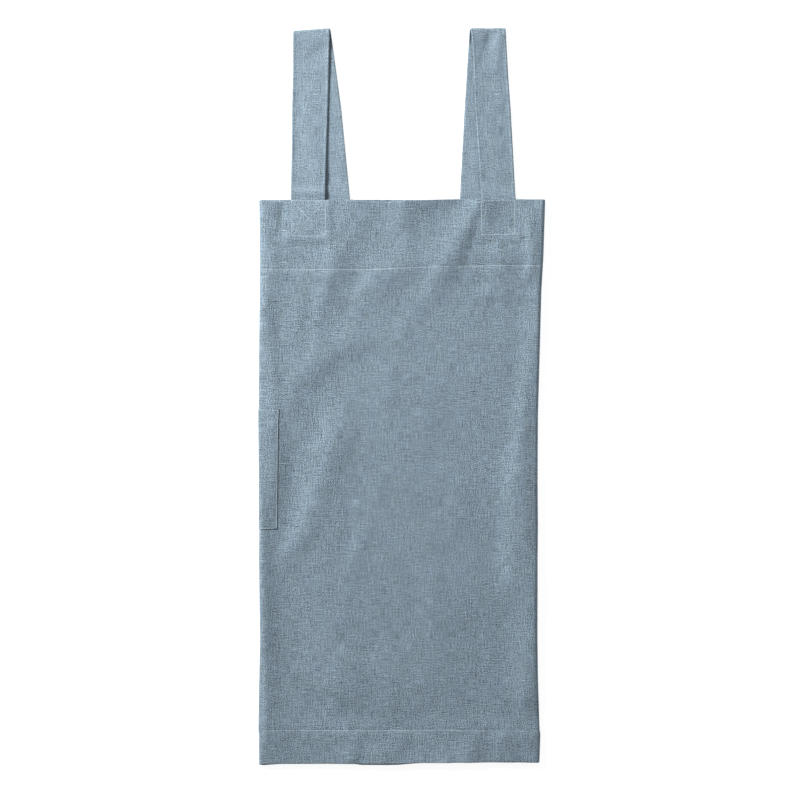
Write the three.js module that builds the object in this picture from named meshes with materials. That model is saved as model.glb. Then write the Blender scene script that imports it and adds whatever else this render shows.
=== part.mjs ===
import * as THREE from "three";

// Cross-back apron of washed linen chambray, lying flat with its front up: the sides are folded
// in behind the front, and both straps are folded over above it. Millimetres, +Z up, +Y towards
// the straps, +X to the wearer's left.

// Cloth
const clothWall = 1; // one layer
const hemWall = 0.6; // what the turned-in edge adds, on the inside
const clearance = 0.35; // between layers and pieces that lie on each other

// Body: one cloth, from the free edge of the right flap round the front to that of the left flap
const bodyWidth = 411; // across the front, between the side folds
const bodyLength = 817; // bottom edge to top edge
const leftFlap = 345; // behind the front, from the left fold
const rightFlap = 328; // behind the front, from the right fold
const topBand = 100; // turned in along the top edge
const bottomHem = 48; // turned in along the bottom edge
const stitchStep = 2; // the length over which a hem's wall sets in
const hemSink = 25; // the length over which the layers above a hem come down from it
const foldReach = 5; // how far the rounded side folds reach out past the flat layers
const sideRise = 1.6; // how much the side folds stand up
const foldLift = 4.6; // how far the front's highest fold stands up
const puff = 1.5; // how much the front stands off the layers below it, between the folds

// Straps: bands that run from the front's top edge over the shoulder to the opposite flap
const strapWidth = 51;
const strapWall = 1.8; // doubled cloth
const strapRun = 247; // from the body's top edge to the turn-over
const strapSeam = 53; // the end that is sewn behind the top band
const strapLoft = 3.3; // the gap inside the turn-over

// Pocket: a patch round the left fold, open at its top
const pocketWidth = 157;
const pocketShown = 27; // how much of it lies on the front
const pocketHeight = 173;
const pocketBase = 340; // from the body's bottom edge to the pocket's
const pocketWall = 1;

// Drape: how far a layer stays level past what it lies on, and then how far it takes to sink
const underLevel = 36;
const underSink = 30;
const overLevel = 17;
const overSink = 24;
const edgeLevel = 3; // past the body's top edge, where the straps come down to the table
const edgeSink = 30;

// Mesh
const rowStep = 25;
const frontStep = 13;
const flapStep = 30;
const turnSteps = 6;
const strapStep = 22;
const acrossStrap = 4;

// The body's sides, from its centre line in shares of its width, at heights in shares of its length
const OUTLINE = [
  { up: 0, left: -0.4995, right: 0.4864 },
  { up: 0.05, left: -0.5, right: 0.4899 },
  { up: 0.06, left: -0.502, right: 0.4871 },
  { up: 0.15, left: -0.4992, right: 0.4815 },
  { up: 0.22, left: -0.496, right: 0.4796 },
  { up: 0.36, left: -0.5, right: 0.48 },
  { up: 0.42, left: -0.4985, right: 0.4812 },
  { up: 0.5, left: -0.4985, right: 0.48 },
  { up: 0.62, left: -0.501, right: 0.4815 },
  { up: 0.72, left: -0.5, right: 0.4871 },
  { up: 0.84, left: -0.4968, right: 0.4935 },
  { up: 0.9, left: -0.4962, right: 0.5004 },
  { up: 1, left: -0.4989, right: 0.5067 },
];

// How far the top and bottom edges stray, in shares of the length, from left to right
const EDGES = [
  { across: 0, top: -0.0005, bottom: 0 },
  { across: 0.11, top: -0.0022, bottom: 0.0002 },
  { across: 0.26, top: 0, bottom: 0.0005 },
  { across: 0.45, top: -0.0022, bottom: 0.0004 },
  { across: 0.56, top: 0.0006, bottom: 0.0012 },
  { across: 0.74, top: 0.0016, bottom: 0.0016 },
  { across: 1, top: 0.0006, bottom: 0.0016 },
];
const flapDrop = 0.0024; // how far the flaps' hem shows below the front's, a share of the length

// Folds of the front, each along a line from one end to the other: x from the body's centre line in
// shares of its width, y up from its bottom edge in shares of its length, how far the line bows
// out midway and the fold's half-widths on its two sides in shares of the width, and its rise in
// shares of the fold lift, less than 0 for a hollow
const FOLDS = [
  { name: "neck ridge", x0: 0.328, y0: 1.028, x1: 0.067, y1: 0.805,
    bow: -0.007, west: 0.043, east: 0.057, rise: 0.63 },
  { name: "neck ridge tail", x0: 0.038, y0: 0.810, x1: -0.072, y1: 0.617,
    bow: -0.013, west: 0.037, east: 0.036, rise: 0.13 },
  { name: "chest ridge", x0: -0.208, y0: 0.926, x1: -0.283, y1: 0.768,
    bow: -0.018, west: 0.037, east: 0.040, rise: 0.39 },
  { name: "chest hollow", x0: -0.053, y0: 0.988, x1: -0.229, y1: 0.776,
    bow: 0.003, west: 0.044, east: 0.033, rise: -0.21 },
  { name: "breast ridge", x0: 0.028, y0: 1.006, x1: -0.162, y1: 0.826,
    bow: 0.068, west: 0.042, east: 0.077, rise: 0.30 },
  { name: "centre crease", x0: 0.038, y0: 1.014, x1: -0.016, y1: 0.945,
    bow: -0.006, west: 0.040, east: 0.035, rise: 0.36 },
  { name: "waist crease", x0: -0.099, y0: 0.760, x1: -0.411, y1: 0.629,
    bow: -0.046, west: 0.073, east: 0.052, rise: 0.49 },
  { name: "left chest swell", x0: -0.368, y0: 0.837, x1: -0.305, y1: 0.682,
    bow: 0.026, west: 0.089, east: 0.031, rise: 0.16 },
  { name: "hip ridge", x0: -0.196, y0: 0.640, x1: -0.286, y1: 0.524,
    bow: 0.021, west: 0.060, east: 0.060, rise: 0.62 },
  { name: "hip ridge tail", x0: -0.258, y0: 0.534, x1: -0.394, y1: 0.372,
    bow: 0.006, west: 0.044, east: 0.051, rise: 0.50 },
  { name: "pocket hollow", x0: -0.384, y0: 0.584, x1: -0.438, y1: 0.368,
    bow: 0.022, west: 0.035, east: 0.077, rise: -0.62 },
  { name: "left roll, upper", x0: -0.478, y0: 1.027, x1: -0.477, y1: 0.796,
    bow: 0.014, west: 0.025, east: 0.044, rise: 0.50 },
  { name: "left roll, middle", x0: -0.485, y0: 0.851, x1: -0.428, y1: 0.556,
    bow: -0.003, west: 0.029, east: 0.031, rise: 0.41 },
  { name: "left roll, lower", x0: -0.504, y0: 0.394, x1: -0.472, y1: 0.030,
    bow: 0.007, west: 0.030, east: 0.041, rise: 0.72 },
  { name: "corner wedge", x0: -0.403, y0: 1.002, x1: -0.455, y1: 0.908,
    bow: -0.004, west: 0.041, east: 0.023, rise: -0.33 },
  { name: "strap corner swell", x0: 0.346, y0: 0.919, x1: 0.306, y1: 0.814,
    bow: 0.005, west: 0.030, east: 0.067, rise: 0.31 },
  { name: "shoulder ridge", x0: 0.487, y0: 0.988, x1: 0.457, y1: 0.850,
    bow: -0.018, west: 0.058, east: 0.039, rise: 0.45 },
  { name: "right ridge, upper", x0: 0.486, y0: 0.858, x1: 0.431, y1: 0.576,
    bow: 0.005, west: 0.037, east: 0.036, rise: 0.48 },
  { name: "right ridge, lower", x0: 0.421, y0: 0.623, x1: 0.393, y1: 0.283,
    bow: 0.007, west: 0.054, east: 0.077, rise: 1.00 },
  { name: "right skirt ridge", x0: 0.479, y0: 0.377, x1: 0.443, y1: 0.072,
    bow: -0.002, west: 0.052, east: 0.049, rise: 0.74 },
  { name: "skirt dip", x0: -0.182, y0: 0.477, x1: -0.197, y1: 0.384,
    bow: 0.005, west: 0.028, east: 0.043, rise: -0.16 },
  { name: "mid swell", x0: 0.102, y0: 0.358, x1: 0.108, y1: 0.219,
    bow: 0.019, west: 0.046, east: 0.102, rise: 0.21 },
  { name: "left skirt swell", x0: -0.224, y0: 0.208, x1: -0.237, y1: 0.108,
    bow: 0.016, west: 0.058, east: 0.073, rise: 0.32 },
  { name: "hem crease, left", x0: -0.177, y0: 0.068, x1: -0.165, y1: -0.005,
    bow: 0.006, west: 0.034, east: 0.020, rise: 0.25 },
  { name: "hem crease, middle", x0: 0.016, y0: 0.052, x1: -0.070, y1: -0.003,
    bow: 0.003, west: 0.044, east: 0.026, rise: 0.21 },
  { name: "hem swell", x0: 0.229, y0: 0.066, x1: 0.194, y1: -0.011,
    bow: 0.038, west: 0.044, east: 0.048, rise: 0.39 },
];
const foldFade = 0.22; // the share of a fold's line over which each end dies away
const endFall = 1.5; // how fast it does

// Each strap half at stations from the turn-over down to the body's top edge: its middle from the
// body's centre line, in shares of the body's width, its width as a share of the strap's, how far
// its outer and inner edges curl up and how far the front half stands off, in shares of the loft
const LEFT_STRAP = {
  slope: 0.075, // rise of the turn-over's line from left to right
  front: [
    { down: 0, middle: -0.3178, wide: 1.037, curl: 0, stand: 1 },
    { down: 0.28, middle: -0.321, wide: 1.005, curl: 0.25, stand: 0.62 },
    { down: 0.47, middle: -0.3238, wide: 1, curl: 0.3, stand: 0.55 },
    { down: 0.75, middle: -0.327, wide: 0.98, curl: 0.15, stand: 0.5 },
    { down: 1, middle: -0.3304, wide: 0.965, curl: 0, stand: 0.5 },
  ],
  back: [
    { down: 0, middle: -0.3165, wide: 1.03 },
    { down: 0.47, middle: -0.276, wide: 1 },
    { down: 1, middle: -0.2448, wide: 1 },
  ],
};
const RIGHT_STRAP = {
  slope: 0.003,
  front: [
    { down: 0, middle: 0.3044, wide: 0.99, curl: 0, stand: 1 },
    { down: 0.1, middle: 0.3088, wide: 0.965, curl: 0.1, stand: 0.85 },
    { down: 0.47, middle: 0.3216, wide: 1.015, curl: 0.25, stand: 0.55 },
    { down: 0.75, middle: 0.3325, wide: 0.99, curl: 0.2, stand: 0.5 },
    { down: 1, middle: 0.3416, wide: 0.97, curl: 0, stand: 0.5 },
  ],
  back: [
    { down: 0, middle: 0.3035, wide: 1 },
    { down: 0.47, middle: 0.286, wide: 1.005 },
    { down: 1, middle: 0.2685, wide: 1 },
  ],
};

const smooth = THREE.MathUtils.smoothstep;
const lerp = THREE.MathUtils.lerp;

// A column of a table at a place between its rows
function read(table, key, at, column) {
  const next = Math.max(1, table.findIndex((row) => row[key] >= at));
  const [a, b] = at > table.at(-1)[key] ? table.slice(-2) : table.slice(next - 1, next + 1);
  return lerp(a[column], b[column], THREE.MathUtils.clamp((at - a[key]) / (b[key] - a[key]), 0, 1));
}

// The named places, with even steps between them
function spread(places, step) {
  const list = [places[0]];
  for (let i = 1; i < places.length; i++) {
    const count = Math.max(1, Math.round(Math.abs(places[i] - places[i - 1]) / step));
    for (let k = 1; k <= count; k++) list.push(lerp(places[i - 1], places[i], k / count));
  }
  return list;
}

// 1 between two places and level past them, then down to 0
function cover(at, from, to, level, sink) {
  const past = Math.max(from - at, at - to) - level;
  return 1 - smooth(past, 0, sink);
}

const leftSide = (y) => bodyWidth * read(OUTLINE, "up", y / bodyLength, "left");
const rightSide = (y) => bodyWidth * read(OUTLINE, "up", y / bodyLength, "right");
const leftFlapEdge = -bodyWidth / 2 + leftFlap;
const rightFlapEdge = bodyWidth * OUTLINE[0].right - rightFlap;
const pocketTop = pocketBase + pocketHeight;

// The wall with its hems, and the softer step of what lies over it
function hemmed(y, sink) {
  const start = stitchStep / 2;
  const band = cover(y, bodyLength - topBand, bodyLength, start, sink);
  return clothWall + hemWall * Math.max(band, cover(y, 0, bottomHem, start, sink));
}
const wall = (y) => hemmed(y, stitchStep);
const room = (y) => hemmed(y, hemSink);

// The straps' middles at the body's top edge
const strapEnd = (strap, half) => bodyWidth * strap[half].at(-1).middle;

// How much of the layer at (x, y) lies over a strap's sewn end
function overSeam(x, y, strap, half, level, sink) {
  const middle = strapEnd(strap, half);
  const across = cover(x, middle - strapWidth / 2, middle + strapWidth / 2, level, sink);
  return across * cover(y, bodyLength - strapSeam, bodyLength, rowStep, sink) * overBody(y);
}

// 1 over the body, and down to 0 past its top edge
const overBody = (y) => cover(y, 0, bodyLength, edgeLevel, edgeSink);
const overRightFlap = (x) => cover(x, rightFlapEdge, bodyWidth, underLevel, underSink);
const overLeftFlap = (x) => cover(x, -bodyWidth, leftFlapEdge, underLevel, underSink);

function overPocket(x, y) {
  const from = leftSide(y) - foldReach;
  const across = cover(x, from, from + pocketWidth - pocketShown, 0, underSink);
  return across * cover(y, pocketBase, pocketTop, 0, underSink);
}

const strapLayer = strapWall + clearance;
const layer = (y) => room(Math.min(y, bodyLength)) + clearance;

// Heights of the stack, each the underside of what lies there
const onRightFlap = (x, y) => layer(y) * overRightFlap(x) * overBody(y);
const leftFlapUnder = (x, y) =>
  onRightFlap(x, y) +
  (pocketWall + clearance) * overPocket(x, y) +
  strapLayer * overSeam(x, y, LEFT_STRAP, "back", underLevel, underSink);
const onLeftFlap = (x, y) => leftFlapUnder(x, y) + layer(y) * overLeftFlap(x) * overBody(y);
const onBackEnds = (x, y) =>
  onLeftFlap(x, y) + strapLayer * overSeam(x, y, RIGHT_STRAP, "back", underLevel, underSink);
const frontUnder = (x, y) =>
  onBackEnds(x, y) +
  strapLayer * overSeam(x, y, LEFT_STRAP, "front", overLevel, overSink) +
  strapLayer * overSeam(x, y, RIGHT_STRAP, "front", overLevel, overSink);

// The height of one fold of the front at (x, y), in shares of the fold lift
function foldAt(fold, x, y) {
  const start = new THREE.Vector2(fold.x0 * bodyWidth, fold.y0 * bodyLength);
  const way = new THREE.Vector2(fold.x1 * bodyWidth, fold.y1 * bodyLength).sub(start);
  const place = new THREE.Vector2(x, y).sub(start);
  const share = place.dot(way) / way.lengthSq();
  const held = THREE.MathUtils.clamp(share, 0, 1);
  const bow = 4 * fold.bow * bodyWidth * held * (1 - held);
  const off = place.cross(way) / -way.length() - bow;
  const across = off / (bodyWidth * (off < 0 ? fold.west : fold.east));
  const past = Math.max(0, foldFade - share, share - 1 + foldFade) / foldFade;
  return fold.rise * Math.exp(-across * across - endFall * past * past);
}

// How much the front stands up at (x, y): never less than nothing, and eased where a hollow ends
function relief(x, y) {
  const folds = FOLDS.reduce((sum, fold) => sum + foldAt(fold, x, y), 0);
  const side = Math.min(x - leftSide(y), rightSide(y) - x) / (2 * foldReach);
  const rise = puff + foldLift * folds + sideRise * Math.exp(-side * side);
  return (rise + Math.hypot(rise, puff)) / 2;
}

// Columns round the body's section: the zone, and how far along it from 0 to 1
const inside = bodyWidth - 2 * foldReach;
const columns = [
  ...spread([0, 1], (3 * flapStep) / rightFlap).map((at) => ({ zone: "right flap", at })),
  ...spread([0, 1], 1 / turnSteps).slice(1, -1).map((at) => ({ zone: "right turn", at })),
  ...spread([0, 1 - (pocketShown - foldReach) / inside, 1], frontStep / inside)
    .map((at) => ({ zone: "front", at })),
  ...spread([0, 1], 1 / turnSteps).slice(1, -1).map((at) => ({ zone: "left turn", at })),
  ...spread([0, (pocketWidth - pocketShown - foldReach) / (leftFlap - foldReach), 1], flapStep / leftFlap)
    .map((at) => ({ zone: "left flap", at })),
];
const pocketFrom = columns.findIndex(
  ({ zone, at }) => zone === "front" && at > 1 - (pocketShown - foldReach) / inside - 1e-6,
);
const pocketTo = columns.findLastIndex(
  ({ zone, at }) =>
    zone === "left flap" &&
    at < (pocketWidth - pocketShown - foldReach) / (leftFlap - foldReach) + 1e-6,
);

// A point of the body's section at a height y, a distance out from the cloth's outer face
function skin({ zone, at }, y, out) {
  const left = leftSide(y) + foldReach;
  const right = rightSide(y) - foldReach;
  const top = (x) => frontUnder(x, y) + relief(x, y) + room(y);
  const turn = (x, low, side) => {
    const half = (top(x) - low) / 2;
    const angle = Math.PI * (side > 0 ? at - 0.5 : 0.5 - at);
    return [
      x + side * (foldReach + out) * Math.cos(angle),
      low + half + (half + out) * Math.sin(angle),
    ];
  };
  if (zone === "right flap") return [lerp(rightFlapEdge, right, at), -out];
  if (zone === "right turn") return turn(right, 0, 1);
  if (zone === "left turn") return turn(left, leftFlapUnder(left, y), -1);
  const x = zone === "front" ? lerp(right, left, at) : lerp(left, leftFlapEdge, at);
  return [x, zone === "front" ? top(x) + out : leftFlapUnder(x, y) - out];
}

// The same point in space, with the edges' stray
function bodyPoint(column, y, out) {
  const [x, z] = skin(column, y, out);
  const across = THREE.MathUtils.clamp(x / bodyWidth + 0.5, 0, 1);
  const behind = column.zone.endsWith("flap") ? 1 : 0;
  const up = y / bodyLength;
  const top = read(EDGES, "across", across, "top") * (1 - behind);
  const bottom = lerp(read(EDGES, "across", across, "bottom"), -flapDrop, behind);
  return [x, y + bodyLength * (top * smooth(up, 0.9, 1) + bottom * (1 - smooth(up, 0, 0.1))), z];
}

// A closed sheet between two grids of points of the same size
function sheet(outer, inner) {
  const rows = outer.length;
  const count = outer[0].length;
  const points = [...outer.flat(), ...inner.flat()].flat();
  const faces = [];
  const quad = (a, b, c, d) => faces.push(a, b, c, a, c, d);
  const at = (side, row, column) => (side * rows + row) * count + column;
  for (let r = 0; r < rows - 1; r++) {
    for (let c = 0; c < count - 1; c++) {
      quad(at(0, r, c), at(0, r + 1, c), at(0, r + 1, c + 1), at(0, r, c + 1));
      quad(at(1, r + 1, c), at(1, r, c), at(1, r, c + 1), at(1, r + 1, c + 1));
    }
    quad(at(0, r + 1, 0), at(0, r, 0), at(1, r, 0), at(1, r + 1, 0));
    quad(at(0, r, count - 1), at(0, r + 1, count - 1), at(1, r + 1, count - 1), at(1, r, count - 1));
  }
  for (let c = 0; c < count - 1; c++) {
    quad(at(0, 0, c), at(0, 0, c + 1), at(1, 0, c + 1), at(1, 0, c));
    quad(at(0, rows - 1, c + 1), at(0, rows - 1, c), at(1, rows - 1, c), at(1, rows - 1, c + 1));
  }
  const geometry = new THREE.BufferGeometry();
  geometry.setAttribute("position", new THREE.Float32BufferAttribute(points, 3));
  geometry.setIndex(faces);
  geometry.computeVertexNormals();
  return geometry;
}

// Rows up the body, with one on each side of a hem's step and at the pocket's edges
const hemStep = [stitchStep / 2, (3 * stitchStep) / 2];
const hemRows = hemStep.map((off) => bottomHem + off);
const bandRows = hemStep.map((off) => bodyLength - topBand - off).toReversed();
const rows = spread([0, ...hemRows, pocketBase, pocketTop, ...bandRows, bodyLength], rowStep);

function body() {
  const side = (inward) =>
    rows.map((y) => columns.map((column) => bodyPoint(column, y, inward ? -wall(y) : 0)));
  return sheet(side(false), side(true));
}

function pocket() {
  const round = columns.slice(pocketFrom, pocketTo + 1);
  const high = rows.filter((y) => y > pocketBase - 1e-6 && y < pocketTop + 1e-6);
  const side = (out) => high.map((y) => round.map((column) => bodyPoint(column, y, out)));
  return sheet(side(clearance + pocketWall), side(clearance));
}

// A strap from its front end up, over and down to its back end
function strap(shape, frontFloor, backFloor) {
  const top = bodyLength + strapRun;
  const radius = strapWall + strapLoft / 2;
  const place = (half, y, across, out) => {
    const down = THREE.MathUtils.clamp((top - y) / strapRun, 0, 1);
    const middle = read(shape[half], "down", down, "middle") * bodyWidth;
    const past = Math.max(0, bodyLength - y) / strapRun;
    const [last, before] = [shape[half].at(-1), shape[half].at(-2)];
    const lean = ((last.middle - before.middle) / (last.down - before.down)) * bodyWidth * past;
    const wide = strapWidth * read(shape[half], "down", down, "wide");
    const x = middle + lean + across * wide;
    const turned = smooth(down, 0, 0.12);
    const drop = (1 - turned) * (shape.slope * strapWidth * (0.5 - across));
    if (half === "back") {
      return [x, y - drop, backFloor(x, y) + strapWall / 2 - out];
    }
    const curl = read(shape.front, "down", down, "curl") * strapLoft * 4 * across * across;
    const stand = strapWall + strapLoft * read(shape.front, "down", down, "stand");
    const low = lerp(stand, frontFloor(x, y), overBody(y));
    return [x, y - drop, low + curl * (1 - overBody(y)) + strapWall / 2 + out];
  };
  const turnOver = top - radius;
  const edge = bodyLength + edgeLevel;
  const places = [bodyLength - strapSeam, edge, edge + edgeSink, turnOver];
  const run = spread(places, strapStep);
  const acrosses = spread([0.5, -0.5], 1 / acrossStrap);
  const side = (out) => {
    const grid = run.map((y) => acrosses.map((across) => place("front", y, across, out)));
    for (const share of spread([0, 1], 1 / turnSteps).slice(1, -1)) {
      grid.push(acrosses.map((across) => {
        const [fx, fy, fz] = place("front", turnOver, across, 0);
        const [bx, , bz] = place("back", turnOver, across, 0);
        const angle = Math.PI * (0.5 - share);
        const half = (fz - bz) / 2;
        return [
          lerp(fx, bx, share),
          fy + (half + out) * Math.cos(angle),
          bz + half + (half + out) * Math.sin(angle),
        ];
      }));
    }
    return [
      ...grid,
      ...run.toReversed().map((y) => acrosses.map((across) => place("back", y, across, out))),
    ];
  };
  return sheet(side(strapWall / 2), side(-strapWall / 2));
}

const apron = new THREE.Group();
function add(name, geometry, color) {
  const material = new THREE.MeshStandardMaterial({ color, roughness: 0.9, metalness: 0 });
  const mesh = new THREE.Mesh(geometry, material);
  mesh.name = name;
  apron.add(mesh);
}
add("body_panel", body(), 0x83939f);
add("side_pocket", pocket(), 0x87989f);
add("strap_left", strap(LEFT_STRAP, onLeftFlap, onRightFlap), 0x96a9b4);
add("strap_right", strap(RIGHT_STRAP, onBackEnds, onLeftFlap), 0x8c9eaa);

// The origin is at the middle of the box's underside
const box = new THREE.Box3().setFromObject(apron);
const middle = box.getCenter(new THREE.Vector3());
apron.position.set(-middle.x, -middle.y, -box.min.z);

export default apron;
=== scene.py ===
"""Linen cross-back apron, lying folded with its front up. Metres, +Z up, +Y towards the straps.

The cloth is worked out layer by layer from the table up: the right flap, the left flap over it, the
straps' back ends between them, then the straps' front ends and the front on top of all.
"""

import bpy
import numpy as np
from bpy.props import FloatProperty, FloatVectorProperty, IntProperty, PointerProperty
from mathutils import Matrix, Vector


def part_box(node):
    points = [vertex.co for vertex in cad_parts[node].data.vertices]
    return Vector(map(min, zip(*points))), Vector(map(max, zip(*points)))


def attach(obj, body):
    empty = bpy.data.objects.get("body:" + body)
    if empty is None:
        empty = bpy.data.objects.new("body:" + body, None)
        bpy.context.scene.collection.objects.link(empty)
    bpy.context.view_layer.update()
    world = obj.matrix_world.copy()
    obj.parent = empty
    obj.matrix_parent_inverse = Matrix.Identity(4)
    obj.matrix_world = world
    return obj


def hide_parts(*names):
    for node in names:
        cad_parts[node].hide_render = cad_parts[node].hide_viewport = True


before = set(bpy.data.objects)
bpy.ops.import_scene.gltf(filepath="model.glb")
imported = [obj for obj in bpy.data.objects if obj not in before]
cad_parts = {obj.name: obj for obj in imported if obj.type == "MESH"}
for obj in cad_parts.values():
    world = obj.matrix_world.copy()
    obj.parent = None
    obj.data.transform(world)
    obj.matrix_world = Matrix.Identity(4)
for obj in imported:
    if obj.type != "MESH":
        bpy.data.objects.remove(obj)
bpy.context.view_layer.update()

bl_info = {
    "name": "Cross-back apron",
    "version": (1, 0, 0),
    "blender": (4, 5, 0),
    "location": "3D View > Sidebar > Apron",
    "description": "Builds a linen cross-back apron that lies folded with its front up",
    "category": "Object",
}


# Tables


def table(columns, *rows):
    """A table by its column names: {column: array down the rows}."""
    names = columns.split()
    return {name: np.array([row[i] for row in rows]) for i, name in enumerate(names)}


# The body's sides from its centre line, in shares of its width, at heights in shares of its length
OUTLINE = table(
    "up left right",
    (0.000, -0.5027, 0.4864),
    (0.050, -0.5032, 0.4899),
    (0.060, -0.5052, 0.4871),
    (0.150, -0.5024, 0.4815),
    (0.220, -0.4992, 0.4796),
    (0.360, -0.5032, 0.4800),
    (0.420, -0.5017, 0.4812),
    (0.500, -0.5017, 0.4800),
    (0.620, -0.5042, 0.4815),
    (0.720, -0.5032, 0.4871),
    (0.840, -0.5000, 0.4935),
    (0.900, -0.4994, 0.5004),
    (1.000, -0.5021, 0.5067),
)

# How far the front's top and bottom edges and the flaps' hem stray, in shares of the length
EDGES = table(
    "across top bottom flap",
    (0.00, -0.0030, 0.0000, -0.0032),
    (0.04, -0.0036, 0.0000, -0.0032),
    (0.07, -0.0046, 0.0002, 0.0000),
    (0.11, -0.0048, 0.0002, 0.0003),
    (0.26, -0.0009, 0.0005, 0.0003),
    (0.33, -0.0022, 0.0004, 0.0004),
    (0.35, -0.0032, 0.0004, -0.0024),
    (0.45, -0.0052, 0.0004, -0.0027),
    (0.50, -0.0032, 0.0010, -0.0022),
    (0.56, -0.0018, 0.0022, 0.0012),
    (0.74, 0.0009, 0.0030, 0.0020),
    (1.00, -0.0003, 0.0030, 0.0020),
)

# Folds of the front: each along a line from one end to the other, x in shares of the body's width
# from its centre line, y in shares of its length from its bottom edge, how far the line bows out,
# the half-widths on its two sides in shares of the width, and the rise in shares of the fold lift
FOLDS = table(
    "name x0 y0 x1 y1 bow west east rise",
    ("neck ridge", 0.319, 1.027, 0.078, 0.813, -0.003, 0.037, 0.060, 0.595),
    ("neck ridge tail", 0.118, 0.860, -0.069, 0.598, -0.043, 0.039, 0.036, 0.163),
    ("neck dip", 0.275, 0.994, 0.203, 0.861, 0.016, 0.029, 0.020, -0.294),
    ("chest ridge", -0.237, 1.060, -0.310, 0.741, 0.033, 0.031, 0.120, 0.401),
    ("chest hollow", -0.024, 1.038, -0.248, 0.751, 0.003, 0.049, 0.046, -0.328),
    ("breast ridge", 0.006, 1.045, -0.189, 0.812, 0.080, 0.044, 0.095, 0.593),
    ("centre crease", 0.198, 1.060, -0.117, 1.027, 0.049, 0.110, 0.081, 1.150),
    ("waist crease", -0.088, 0.761, -0.410, 0.602, -0.078, 0.069, 0.064, 0.641),
    ("left chest swell", -0.242, 0.898, -0.437, 0.657, -0.053, 0.120, 0.113, 0.829),
    ("hip ridge", -0.246, 0.627, -0.297, 0.549, 0.013, 0.025, 0.120, 0.329),
    ("hip ridge tail", -0.194, 0.626, -0.441, 0.327, 0.016, 0.044, 0.051, 0.485),
    ("pocket hollow", -0.351, 0.588, -0.408, 0.384, -0.003, 0.028, 0.044, -0.504),
    ("left roll, upper", -0.477, 1.060, -0.467, 0.790, 0.000, 0.032, 0.050, 1.150),
    ("left roll, middle", -0.501, 0.863, -0.459, 0.436, 0.024, 0.041, 0.035, 0.906),
    ("left roll, lower", -0.494, 0.472, -0.476, 0.002, 0.002, 0.015, 0.050, 1.150),
    ("corner wedge", -0.270, 1.022, -0.414, 0.946, -0.053, 0.031, 0.045, -0.662),
    ("strap corner swell", 0.348, 0.938, 0.308, 0.818, 0.005, 0.032, 0.092, 0.503),
    ("shoulder ridge", 0.558, 1.024, 0.409, 0.845, -0.025, 0.069, 0.072, 1.150),
    ("shoulder dip", 0.366, 1.016, 0.414, 0.852, 0.034, 0.065, 0.024, -0.838),
    ("right ridge, upper", 0.499, 0.930, 0.389, 0.474, 0.017, 0.041, 0.051, 0.815),
    ("right ridge, lower", 0.414, 0.556, 0.387, 0.277, 0.007, 0.052, 0.120, 1.150),
    ("right skirt ridge", 0.482, 0.351, 0.451, 0.064, -0.009, 0.058, 0.045, 1.076),
    ("skirt streak", -0.112, 0.461, -0.205, 0.327, 0.008, 0.012, 0.039, 0.157),
    ("skirt dip", -0.193, 0.479, -0.187, 0.390, 0.004, 0.027, 0.025, -0.319),
    ("mid swell", 0.080, 0.350, 0.104, 0.225, 0.023, 0.035, 0.120, 0.313),
    ("left skirt swell", -0.172, 0.202, -0.269, 0.117, 0.011, 0.069, 0.120, 0.780),
    ("hem crease, left", -0.190, 0.063, -0.194, -0.010, 0.032, 0.053, 0.018, 0.360),
    ("hem crease, middle", 0.027, 0.056, -0.196, -0.012, 0.037, 0.056, 0.022, 0.260),
    ("hem swell", 0.275, 0.034, -0.083, -0.018, 0.090, 0.077, 0.120, 1.150),
    ("thin streak", 0.352, 0.904, 0.342, 0.670, 0.018, 0.028, 0.120, 0.189),
    ("small chest, left", -0.317, 0.956, -0.364, 0.570, 0.007, 0.028, 0.018, -0.082),
    ("small top, left", -0.474, 0.961, -0.422, 0.893, -0.040, 0.047, 0.087, 0.248),
    ("small top, middle", 0.103, 0.992, 0.083, 0.912, 0.024, 0.066, 0.030, -0.292),
    ("small skirt, left", -0.193, 0.280, -0.382, 0.152, 0.024, 0.069, 0.047, 0.266),
    ("small waist, middle", 0.192, 0.644, 0.107, 0.526, 0.010, 0.043, 0.120, -0.264),
    ("small hem, middle", -0.033, 0.066, 0.205, -0.045, 0.085, 0.023, 0.083, -0.619),
    ("small top, middle 2", 0.023, 0.958, -0.090, 0.868, -0.001, 0.027, 0.044, -0.301),
    ("small hip, middle", 0.237, 0.524, 0.169, 0.393, 0.010, 0.054, 0.016, 0.133),
    ("small hem, right", 0.373, 0.062, 0.368, -0.008, -0.017, 0.027, 0.080, 0.439),
    ("small skirt, middle", -0.041, 0.289, -0.217, 0.159, 0.055, 0.061, 0.086, -0.189),
    ("small hem, left", -0.364, 0.118, -0.478, -0.050, -0.014, 0.108, 0.044, 0.269),
    ("small hem, right 2", 0.458, 0.070, 0.501, -0.050, -0.011, 0.034, 0.038, 0.593),
    ("small hip, right", 0.319, 0.442, 0.334, 0.380, -0.006, 0.013, 0.051, -0.191),
    ("small top, middle 3", -0.054, 0.920, -0.212, 0.893, 0.017, 0.040, 0.024, -0.302),
    ("small chest, left 2", -0.416, 0.949, -0.500, 0.773, -0.013, 0.012, 0.102, 0.130),
    ("small hip, right 2", 0.455, 0.549, 0.446, 0.320, -0.006, 0.031, 0.030, 0.214),
    ("small top, right", 0.265, 0.993, 0.250, 0.932, -0.009, 0.051, 0.013, 0.413),
    ("small skirt, left 2", -0.410, 0.212, -0.274, 0.098, 0.015, 0.031, 0.071, -0.236),
    ("small skirt, middle 2", 0.275, 0.343, 0.059, 0.101, -0.007, 0.045, 0.063, 0.133),
    ("small skirt, middle 3", -0.076, 0.208, -0.070, 0.065, 0.021, 0.057, 0.052, 0.171),
)
FADE = 0.22  # the share of a fold's line over which each end dies away
END_FALL = 1.5  # how fast it does

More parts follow.
